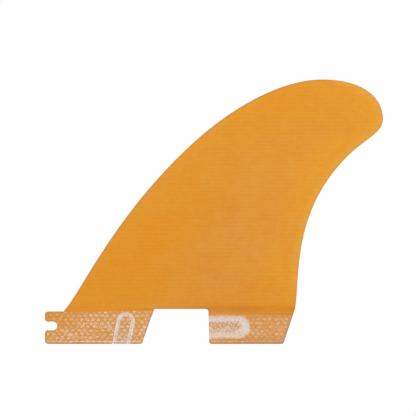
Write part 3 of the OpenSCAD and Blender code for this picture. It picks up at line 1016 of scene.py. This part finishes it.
# The edges of the tabs: a strip along the rear tab's foot, a broken white line, and painted shade along the
# chamfered edge
STRIP_BY_HEIGHT = (-13.6, -14.8, 0.0, 0.5)
INNER_LINE_RIM = 1.1
INNER_LINE_STROKE = 0.35
INNER_LINE_CORE = 0.1
INNER_LINE_BY_HEIGHT = (-14.5, -16.2, 0.25, 0.85)
INNER_LINE_BY_LENGTH = (-66, -48, 0.45, 1.0)
INNER_LINE_REAR_LOSS = 0.6
INNER_LINE_NOISE = ((0.4, 0.4, 2.0), 3)
HEEL_BY_LENGTH = (44, 48)
TOE_BY_LENGTH = (-63, -66)
TOE_EDGE_BY_LENGTH = (-64, -40)
EDGE_WIDTH = 0.7
EDGE_WIDER_AT_ENDS = 0.9
EDGE_CORE = 0.35
EDGE_STRENGTH = 0.62
EDGE_STRONGER_AT_HEEL = 0.25


def weave_white(g, s, dots, rear):
    """How white the weave is: knuckles, specks, threads and haze, fainter at the toe and the blade."""
    haze = g.patches(s.place, HAZE_NOISE, HAZE_PATCHES)
    specks = g.patches(s.place, SPECK_NOISE, SPECK_PATCHES)
    threads = g.patches(s.place, THREAD_NOISE, THREAD_PATCHES)
    loose = g.product(specks, g.line(haze, SPECKS_IN_HAZE, SPECKS_OFF_HAZE))
    loose = g.line(threads, g.ramp(s.z, *THREADS_BY_HEIGHT), loose)
    loose = g.line(haze, HAZE_STRENGTH, loose)
    loose = g.product(loose, g.ramp(s.x, *LOOSE_BY_LENGTH, g.ramp(s.z, *LOOSE_TOE_BY_HEIGHT), 1.0))
    white = g.plus(g.product(dots, g.patches(s.place, KNUCKLE_NOISE, KNUCKLE_PATCHES)), loose)
    from_toe = g.ramp(s.x, *WEAVE_BY_LENGTH, g.ramp(s.z, *WEAVE_TOE_BY_HEIGHT), 1.0)
    from_top = g.larger(g.ramp(s.below, *WEAVE_FROM_TOP), g.ramp(s.x, *FULL_WEAVE_BY_LENGTH))
    rear_loss = g.minus(g.ramp(s.below, *REAR_WEAVE_FROM_TOP), 1.0)
    faint = g.product(from_toe, from_top, g.line(rear, rear_loss, 1.0))
    return g.smaller(g.product(white, faint), 1.0)


def tab_edges(g, s, colour, rear):
    """Round the tabs: painted shade along the chamfered edge, and a broken white line inside it."""
    colour = g.mix(g.product(g.ramp(s.z, *STRIP_BY_HEIGHT), rear), colour, REAR_STRIP)
    line = g.near(s.rim, INNER_LINE_RIM, INNER_LINE_STROKE, INNER_LINE_CORE)
    along = g.line(rear, -INNER_LINE_REAR_LOSS, g.ramp(s.x, *INNER_LINE_BY_LENGTH))
    line = g.product(line, g.ramp(s.z, *INNER_LINE_BY_HEIGHT), along)
    colour = g.mix(g.product(line, g.noise(s.place, *INNER_LINE_NOISE)), colour, KNUCKLE_WHITE)
    heel = g.ramp(s.x, *HEEL_BY_LENGTH)
    toe = g.ramp(s.x, *TOE_BY_LENGTH)
    width = g.line(g.larger(heel, toe), EDGE_WIDER_AT_ENDS, EDGE_WIDTH)
    # Painted shade along the tabs' chamfered edges and the heel's slanted side
    edge_shade = g.ramp(s.rim, width, EDGE_CORE, 0.0, g.line(heel, EDGE_STRONGER_AT_HEEL, EDGE_STRENGTH))
    front_edge_shade = g.mix(g.ramp(s.x, *TOE_EDGE_BY_LENGTH), TOE_EDGE_SHADE, TAB_EDGE_SHADE)
    return g.mix(edge_shade, colour, g.mix(heel, front_edge_shade, HEEL_EDGE_SHADE))


# The pockets. Where a fade's name doesn't say otherwise, it runs along the distance inside the wall. A border
# is the middle of a band there, its reach and its core, and its strengths.
DUST_NOISE = (1.2, 4, 0.8)
DUST_REACH = 3.2
FRONT_DUST_SHARE = 0.5
FRONT_SLOPE_START = (-0.3, 0.3)
FRONT_SLOPE_END = (2.3, 1.4)
FRONT_FLOOR = (1.4, 2.3)
REAR_SLOPE_START = (-0.5, 0.5)
REAR_SLOPE_LOWER_BY_HEIGHT = (-12, -14, 0.0, 0.5)
REAR_FLOOR = (1.9, 3.6)
REAR_FLOOR_BY_LENGTH = (31.5, 29)
HOLE_NOISE = (0.5, 1)
HOLE_PATCHES = (0.35, 0.6)
SMEAR_NOISE = (0.9, 4, 0.7)
SMEAR_PATCHES = (0.38, 0.57, 0.2, 0.92)
SMEAR_HOLE_LOSS = 0.9
OUTER_BORDER = (0.35, 0.5, 0.2)
INNER_BORDER = (1.5, 0.45, 0.15, 0.0, 0.8)
BORDER_STRENGTH = 0.95
BORDER_HOLE_LOSS = 0.7
CLOUD_NOISE = (1.4, 3, 0.7)
CLOUD_PATCHES = (0.4, 0.6)
CLOUD_BY_HEIGHT = (-9, -14, 0.0, 0.36)
FLOOR_KNUCKLE_GAIN = 1.3
SPECKLE_NOISE = (1.8, 3, 0.7)
SPECKLE_PATCHES = (0.4, 0.56, 0.53, 0.96)
SPECKLE_BY_HEIGHT = (-10.5, -14, 1.0, 0.82)
STREAK_NOISE = ((1.6, 1.6, 1.2), 3, 0.7, 0.5)
STREAK_PATCHES = (0.45, 0.56)
STREAK_STRENGTH = 0.65
CHALK_BY_HEIGHT = (-8.5, -11.5, 0.0, 0.2)
STAIN = (0.0, 1.5, 0.0, 0.8)
FRONT_STAIN_SHARE = 0.3
# Painted light: a brighter white at the pockets' edges, where their steep walls fall into shade
WHITE_EDGE_PAINTED_LIGHT = (0.9, 0.2)


def pocket_masks(g, s):
    """Where each pocket's ground slope and its floor lie, with dusty edges."""
    dust = g.sway(s.place, DUST_NOISE, DUST_REACH)
    front = g.line(dust, FRONT_DUST_SHARE, s.front_pocket)
    front_slope = g.product(g.ramp(front, *FRONT_SLOPE_START), g.ramp(front, *FRONT_SLOPE_END))
    rear = g.plus(dust, s.rear_pocket)
    rear_floor = g.product(g.ramp(rear, *REAR_FLOOR), g.ramp(g.plus(dust, s.x), *REAR_FLOOR_BY_LENGTH))
    lower = g.ramp(s.z, *REAR_SLOPE_LOWER_BY_HEIGHT)
    rear_slope = g.product(g.ramp(g.minus(rear, lower), *REAR_SLOPE_START), g.minus(1.0, rear_floor))
    return front_slope, g.ramp(front, *FRONT_FLOOR), rear_slope, rear_floor


def pocket_white(g, s, dots):
    """How far the pockets are ground white: scribbled and dusty slopes, and floors with the weave."""
    front_slope, front_floor, rear_slope, rear_floor = pocket_masks(g, s)
    holes = g.product(knuckle_cores(g, s.place), g.patches(s.place, HOLE_NOISE, HOLE_PATCHES))
    smear = g.patches(s.place, SMEAR_NOISE, SMEAR_PATCHES)
    smear = g.product(smear, g.line(holes, -SMEAR_HOLE_LOSS, 1.0))
    border = g.larger(g.near(s.front_pocket, *OUTER_BORDER), g.near(s.front_pocket, *INNER_BORDER))
    border = g.product(border, g.line(holes, -BORDER_HOLE_LOSS, BORDER_STRENGTH))
    cloud = g.product(g.ramp(s.z, *CLOUD_BY_HEIGHT), g.patches(s.place, CLOUD_NOISE, CLOUD_PATCHES))
    floor_white = g.larger(g.smaller(g.product(dots, FLOOR_KNUCKLE_GAIN), 1.0), cloud)
    front = g.larger(g.product(front_slope, g.larger(smear, border)), g.product(front_floor, floor_white))
    speckle = g.product(g.patches(s.place, SPECKLE_NOISE, SPECKLE_PATCHES),
                        g.ramp(s.z, *SPECKLE_BY_HEIGHT))
    streaks = g.patches(s.place, STREAK_NOISE, STREAK_PATCHES)
    streaks = g.line(streaks, STREAK_STRENGTH, g.ramp(s.z, *CHALK_BY_HEIGHT))
    rear = g.plus(g.product(rear_slope, speckle), g.product(rear_floor, streaks))
    return g.smaller(g.larger(front, rear), 1.0)


def tab_colour(g, s):
    """Bare weave: orange with white knuckles and threads, painted shade along the edge, and whitened pockets
    with painted light at their edges.
    """
    rear = g.ramp(s.x, *REAR_TAB_BY_LENGTH)
    dots = g.product(knuckles(g, s.place), g.ramp(s.x, *KNUCKLES_BY_LENGTH))
    white = weave_white(g, s, dots, rear)
    tone = g.product(g.noise(s.place, *TONE_NOISE), g.ramp(s.x, *TONE_BY_LENGTH))
    colour = g.mix(white, g.mix(tone, TAB_ORANGE, TAB_PALE), KNUCKLE_WHITE)
    colour = tab_edges(g, s, colour, rear)
    whitened = pocket_white(g, s, dots)
    inward = g.larger(s.front_pocket, s.rear_pocket)
    stain = g.product(g.ramp(inward, *STAIN), g.line(rear, 1 - FRONT_STAIN_SHARE, FRONT_STAIN_SHARE))
    colour = g.mix(stain, colour, POCKET_FLOOR)
    # Ground white, with painted light making it brighter at the pockets' edges, where their steep walls fall
    # into shade
    chalk_and_painted_light = g.mix(g.ramp(inward, *WHITE_EDGE_PAINTED_LIGHT), POCKET_WHITE, POCKET_EDGE_PAINTED_LIGHT)
    return g.mix(whitened, colour, chalk_and_painted_light), white, whitened


# The plies of the cut edge, and the line where the blade's resin ends
PLY_NOISE = ((0.12, 5.5, 0.12), 2)
PLY_PATCHES = (0.35, 0.65)
MEETING_NOISE = (0.7, 3)
MEETING_SWAY = 1.4
MEETING_FADE = (-0.15, 0.55)
MIDDLE_RAISE = 0.22
MIDDLE_FROM_AHEAD = (-50, -35)
MIDDLE_FROM_BEHIND = (10, 0)
SHOULDER_BY_HEIGHT = (-0.5, -1.9)
SHOULDER_BY_LENGTH = (5, 20)
WALL_BY_FACING = (0.45, 0.15)
WALL_BY_HEIGHT = (0.15, 0.02)


def bare_weave(g, s):
    """Where the weave is bare: below a ragged line, a little higher along the middle of the front tab."""
    ragged = g.plus(g.sway(s.place, MEETING_NOISE, MEETING_SWAY), s.below)
    middle = g.product(g.ramp(s.x, *MIDDLE_FROM_AHEAD), g.ramp(s.x, *MIDDLE_FROM_BEHIND))
    return g.ramp(g.line(middle, MIDDLE_RAISE, ragged), *MEETING_FADE)


def laminate():
    """Amber laminate: satin and faintly ribbed on the blade, bare weave with white knuckles on the tabs."""
    material = bpy.data.materials.new("laminate")
    g = Graph(material)
    s = surface_inputs(g)
    relief = resin_relief(g, s)
    tab, white, whitened = tab_colour(g, s)
    raw = bare_weave(g, s)
    colour = g.mix(raw, blade_colour(g, s, relief), tab)
    shoulder = g.product(g.ramp(s.z, *SHOULDER_BY_HEIGHT), g.ramp(s.x, *SHOULDER_BY_LENGTH))
    colour = g.tint(g.product(shoulder, g.minus(1.0, raw)), colour, SHOULDER_TINT)
    wall = g.product(g.ramp(s.facing, *WALL_BY_FACING), g.ramp(s.z, *WALL_BY_HEIGHT))
    plies = g.mix(g.patches(s.place, PLY_NOISE, PLY_PATCHES), PLY_DARK, PLY_LIGHT)
    colour = g.mix(wall, colour, plies)
    roughness = g.line(whitened, GROUND_ROUGHER, g.line(raw, WEAVE_ROUGHER, BLADE_ROUGHNESS))
    height = g.line(relief, RESIN_HEIGHT_SHARE, g.product(raw, white))
    bump = g.node("ShaderNodeBump", {
        "Strength": BUMP_STRENGTH, "Distance": KNUCKLE_HEIGHT * MM, "Height": height})
    shader = g.node("ShaderNodeBsdfPrincipled", {
        "Base Color": colour, "Roughness": roughness, "Normal": bump.outputs[0],
        "Specular IOR Level": SPECULAR_LEVEL})
    g.node("ShaderNodeOutputMaterial", {0: shader.outputs[0]})
    return material


# Studio, in metres and watts. Only the floor's gap under the fin, and the distance at which light still
# counts as touching the floor, are in millimetres.

FLOOR_SIZE = 4.0
FLOOR_GAP = 0.05
FLOOR_TOUCH = 4 * FLOOR_GAP
VIEW_CENTRE_X = 0.0139
VIEW_CENTRE_Z = 0.0506
VIEW_WIDTH = 0.2085
CAMERA_DISTANCE = 0.9
SKY_STRENGTH = 0.58
LAMP_SIZE = 0.8
LAMPS = {
    "key": ((-0.3, -1.1, 0.55), 3.7),
    "fill": ((0.5, -1.0, 0.3), 2.7),
    "back_left": ((-0.5, 0.9, 0.7), 3.6),
    "back_right": ((0.6, 0.8, 0.4), 2.4),
}


def pale_floor_material():
    """Pale and matt from above. From below it lets the eye through, and light reaches what stands on it."""
    material = bpy.data.materials.new("pale_floor")
    g = Graph(material)
    shader = g.node("ShaderNodeBsdfPrincipled", {"Base Color": FLOOR_COLOUR, "Roughness": FLOOR_ROUGHNESS})
    clear = g.node("ShaderNodeBsdfTransparent")
    below = g.node("ShaderNodeNewGeometry").outputs["Backfacing"]
    touching = g.math("LESS_THAN", g.node("ShaderNodeLightPath").outputs["Ray Length"], FLOOR_TOUCH * MM)
    either = g.node("ShaderNodeMixShader", {
        0: g.larger(below, touching), 1: shader.outputs[0], 2: clear.outputs[0]})
    g.node("ShaderNodeOutputMaterial", {0: either.outputs[0]})
    return material


def build_floor():
    half = FLOOR_SIZE / 2
    level = (float(LOW[2]) - FLOOR_GAP) * MM
    mesh = bpy.data.meshes.new("floor")
    corners = [(-half, -half, level), (half, -half, level), (half, half, level), (-half, half, level)]
    mesh.from_pydata(corners, [], [(0, 1, 2, 3)])
    mesh.materials.append(pale_floor_material())
    floor = bpy.data.objects.new("floor", mesh)
    bpy.context.collection.objects.link(floor)


def build_world():
    """White where it is seen or mirrored, and a softer sky that lights the fin."""
    world = bpy.data.worlds.new("studio")
    bpy.context.scene.world = world
    g = Graph(world)
    path = g.node("ShaderNodeLightPath").outputs
    seen = g.larger(g.larger(path["Is Camera Ray"], path["Is Glossy Ray"]), path["Is Transmission Ray"])
    strength = g.node("ShaderNodeMapRange", {"Value": seen, "To Min": SKY_STRENGTH, "To Max": 1.0})
    background = g.node("ShaderNodeBackground", {"Color": (1, 1, 1, 1), "Strength": strength.outputs[0]})
    g.node("ShaderNodeOutputWorld", {0: background.outputs[0]})


def area_lamp(name, place, target, power):
    data = bpy.data.lights.new(name, "AREA")
    data.shape = "SQUARE"
    data.size = LAMP_SIZE
    data.energy = power
    lamp = bpy.data.objects.new(name, data)
    bpy.context.collection.objects.link(lamp)
    lamp.location = place
    direction = [t - p for t, p in zip(target, place)]
    lamp.rotation_euler = Vector(direction).to_track_quat("-Z", "Y").to_euler()


def build_lamps():
    middle = (VIEW_CENTRE_X, 0, VIEW_CENTRE_Z)
    for name, (place, power) in LAMPS.items():
        area_lamp(name, place, middle, power)


def build_camera():
    data = bpy.data.cameras.new("camera")
    data.type = "ORTHO"
    data.ortho_scale = VIEW_WIDTH
    camera = bpy.data.objects.new("camera", data)
    bpy.context.collection.objects.link(camera)
    camera.location = (VIEW_CENTRE_X, -CAMERA_DISTANCE, VIEW_CENTRE_Z)
    camera.rotation_euler = (math.pi / 2, 0, 0)
    bpy.context.scene.camera = camera


fin = build_fin()
fin.data.materials.append(laminate())
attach(fin, "root")
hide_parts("fin")
build_floor()
build_world()
build_lamps()
build_camera()
bpy.context.scene.view_settings.view_transform = "Standard"
